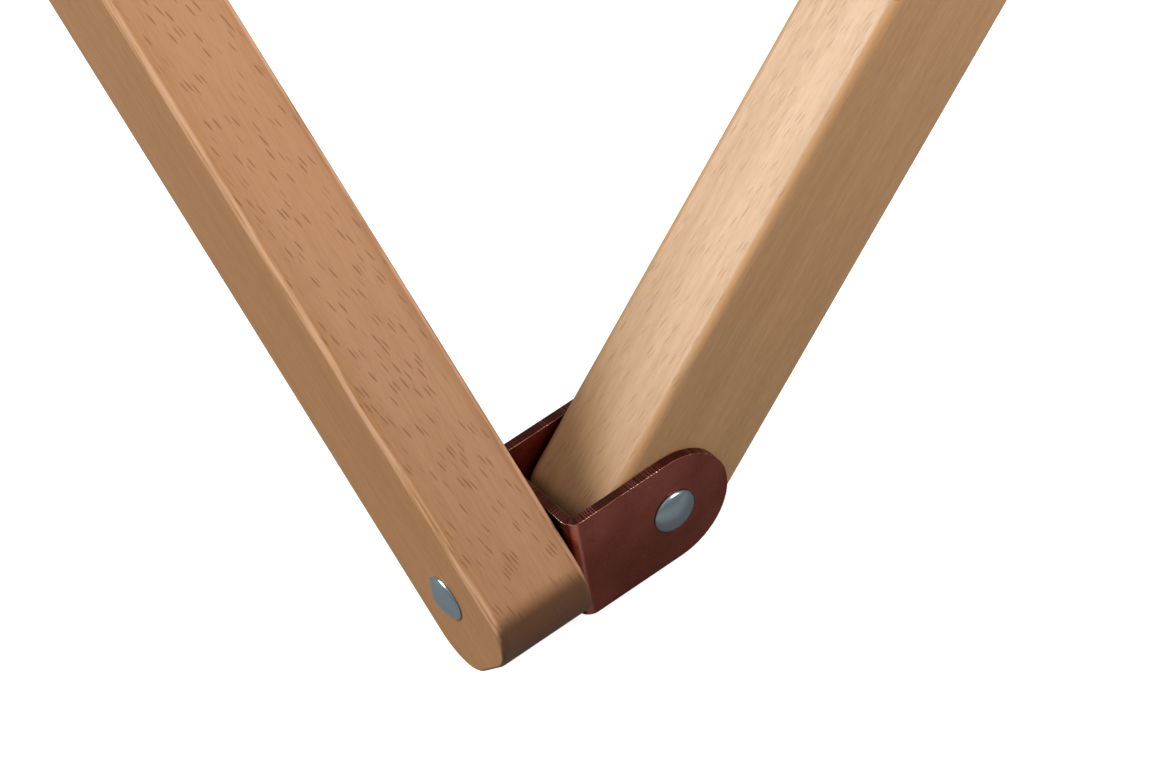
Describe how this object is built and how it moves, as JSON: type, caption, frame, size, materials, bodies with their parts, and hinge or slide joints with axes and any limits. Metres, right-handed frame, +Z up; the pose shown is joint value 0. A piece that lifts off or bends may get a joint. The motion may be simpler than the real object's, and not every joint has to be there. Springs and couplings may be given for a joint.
{
  "type": "folding luggage rack",
  "caption": "Square scissor-fold luggage rack: round-ended beech bars riveted to bent copper-finish corner brackets, with crossed webbing straps under flat landing discs on top.",
  "frame": {"origin": "on the floor under the middle of the open rack", "axes": "+Z up; the pictured foot is the front left corner at -X, -Y; sides run along X and Y"},
  "size_m": [0.524, 0.524, 0.4594],
  "materials": {
    "beech": "clear satin lacquer over steamed beech, with fine dark flecks",
    "bracket_copper": "dark antique copper plating on bent sheet steel, satin gloss",
    "rivet_zinc": "blue-grey satin zinc plating",
    "webbing": "dark brown ribbed webbing"
  },
  "bodies": {
    "foot_1": {"foot_bracket_1": "bracket_copper"},
    "top_1": {"top_bracket_1": "bracket_copper", "strap_pins_1": "rivet_zinc", "strap_1": "webbing"},
    "inner_1": {"inner_bar_1": "beech", "inner_rivets_1": "rivet_zinc", "crossing_spacer_1": "beech"},
    "outer_1": {"outer_bar_1": "beech", "outer_rivets_1": "rivet_zinc"},
    "foot_2": {"foot_bracket_2": "bracket_copper"},
    "top_2": {"top_bracket_2": "bracket_copper", "strap_pins_2": "rivet_zinc", "strap_2": "webbing"},
    "inner_2": {"inner_bar_2": "beech", "inner_rivets_2": "rivet_zinc", "crossing_spacer_2": "beech"},
    "outer_2": {"outer_bar_2": "beech", "outer_rivets_2": "rivet_zinc"},
    "foot_3": {"foot_bracket_3": "bracket_copper"},
    "top_3": {"top_bracket_3": "bracket_copper", "strap_pins_3": "rivet_zinc"},
    "inner_3": {"inner_bar_3": "beech", "inner_rivets_3": "rivet_zinc", "crossing_spacer_3": "beech"},
    "outer_3": {"outer_bar_3": "beech", "outer_rivets_3": "rivet_zinc"},
    "foot_4": {"foot_bracket_4": "bracket_copper"},
    "top_4": {"top_bracket_4": "bracket_copper", "strap_pins_4": "rivet_zinc"},
    "inner_4": {"inner_bar_4": "beech", "inner_rivets_4": "rivet_zinc", "crossing_spacer_4": "beech"},
    "outer_4": {"outer_bar_4": "beech", "outer_rivets_4": "rivet_zinc"}
  },
  "joints": [
    {"name": "fold", "type": "hinge", "parent": "foot_1", "child": "inner_1", "pos_m": [-0.2158, -0.2158, 0.01776], "axis": [0, -1, 0], "range_deg": [0, 39.5], "deforming": ["strap_1", "strap_2"]},
    {"name": "inner_1_top", "type": "hinge", "parent": "inner_1", "child": "top_2", "pos_m": [0.2158, -0.2158, 0.43456], "axis": [0, 1, 0], "range_deg": [0, 39.5]},
    {"name": "crossing_1", "type": "hinge", "parent": "inner_1", "child": "outer_1", "pos_m": [0, -0.2158, 0.22616], "axis": [0, 1, 0], "range_deg": [0, 79]},
    {"name": "outer_1_foot", "type": "hinge", "parent": "outer_1", "child": "foot_2", "pos_m": [0.2158, -0.2497, 0.01776], "axis": [0, -1, 0], "range_deg": [0, 39.5]},
    {"name": "outer_1_top", "type": "hinge", "parent": "outer_1", "child": "top_1", "pos_m": [-0.2158, -0.2497, 0.43456], "axis": [0, -1, 0], "range_deg": [0, 39.5]},
    {"name": "inner_2_foot", "type": "hinge", "parent": "foot_2", "child": "inner_2", "pos_m": [0.2158, -0.2158, 0.01776], "axis": [1, 0, 0], "range_deg": [0, 39.5]},
    {"name": "inner_2_top", "type": "hinge", "parent": "inner_2", "child": "top_3", "pos_m": [0.2158, 0.2158, 0.43456], "axis": [-1, 0, 0], "range_deg": [0, 39.5]},
    {"name": "crossing_2", "type": "hinge", "parent": "inner_2", "child": "outer_2", "pos_m": [0.2158, 0, 0.22616], "axis": [-1, 0, 0], "range_deg": [0, 79]},
    {"name": "outer_2_foot", "type": "hinge", "parent": "outer_2", "child": "foot_3", "pos_m": [0.2497, 0.2158, 0.01776], "axis": [1, 0, 0], "range_deg": [0, 39.5]},
    {"name": "outer_4_foot", "type": "hinge", "parent": "foot_1", "child": "outer_4", "pos_m": [-0.2497, -0.2158, 0.01776], "axis": [1, 0, 0], "range_deg": [0, 39.5]},
    {"name": "outer_4_top", "type": "hinge", "parent": "outer_4", "child": "top_4", "pos_m": [-0.2497, 0.2158, 0.43456], "axis": [-1, 0, 0], "range_deg": [0, 39.5]},
    {"name": "crossing_4", "type": "hinge", "parent": "outer_4", "child": "inner_4", "pos_m": [-0.2158, 0, 0.22616], "axis": [-1, 0, 0], "range_deg": [0, 79]},
    {"name": "inner_4_foot", "type": "hinge", "parent": "inner_4", "child": "foot_4", "pos_m": [-0.2158, 0.2158, 0.01776], "axis": [1, 0, 0], "range_deg": [0, 39.5]},
    {"name": "outer_3_foot", "type": "hinge", "parent": "foot_4", "child": "outer_3", "pos_m": [-0.2158, 0.2497, 0.01776], "axis": [0, -1, 0], "range_deg": [0, 39.5]},
    {"name": "crossing_3", "type": "hinge", "parent": "outer_3", "child": "inner_3", "pos_m": [0, 0.2158, 0.22616], "axis": [0, 1, 0], "range_deg": [0, 79]}
  ],
  "couplings": [
    {"joint": "inner_1_top", "follows": "fold", "ratio": 1},
    {"joint": "crossing_1", "follows": "fold", "ratio": 2},
    {"joint": "outer_1_foot", "follows": "fold", "ratio": 1},
    {"joint": "outer_1_top", "follows": "fold", "ratio": 1},
    {"joint": "inner_2_foot", "follows": "fold", "ratio": 1},
    {"joint": "inner_2_top", "follows": "fold", "ratio": 1},
    {"joint": "crossing_2", "follows": "fold", "ratio": 2},
    {"joint": "outer_2_foot", "follows": "fold", "ratio": 1},
    {"joint": "outer_4_foot", "follows": "fold", "ratio": 1},
    {"joint": "outer_4_top", "follows": "fold", "ratio": 1},
    {"joint": "crossing_4", "follows": "fold", "ratio": 2},
    {"joint": "inner_4_foot", "follows": "fold", "ratio": 1},
    {"joint": "outer_3_foot", "follows": "fold", "ratio": 1},
    {"joint": "crossing_3", "follows": "fold", "ratio": 2}
  ]
}
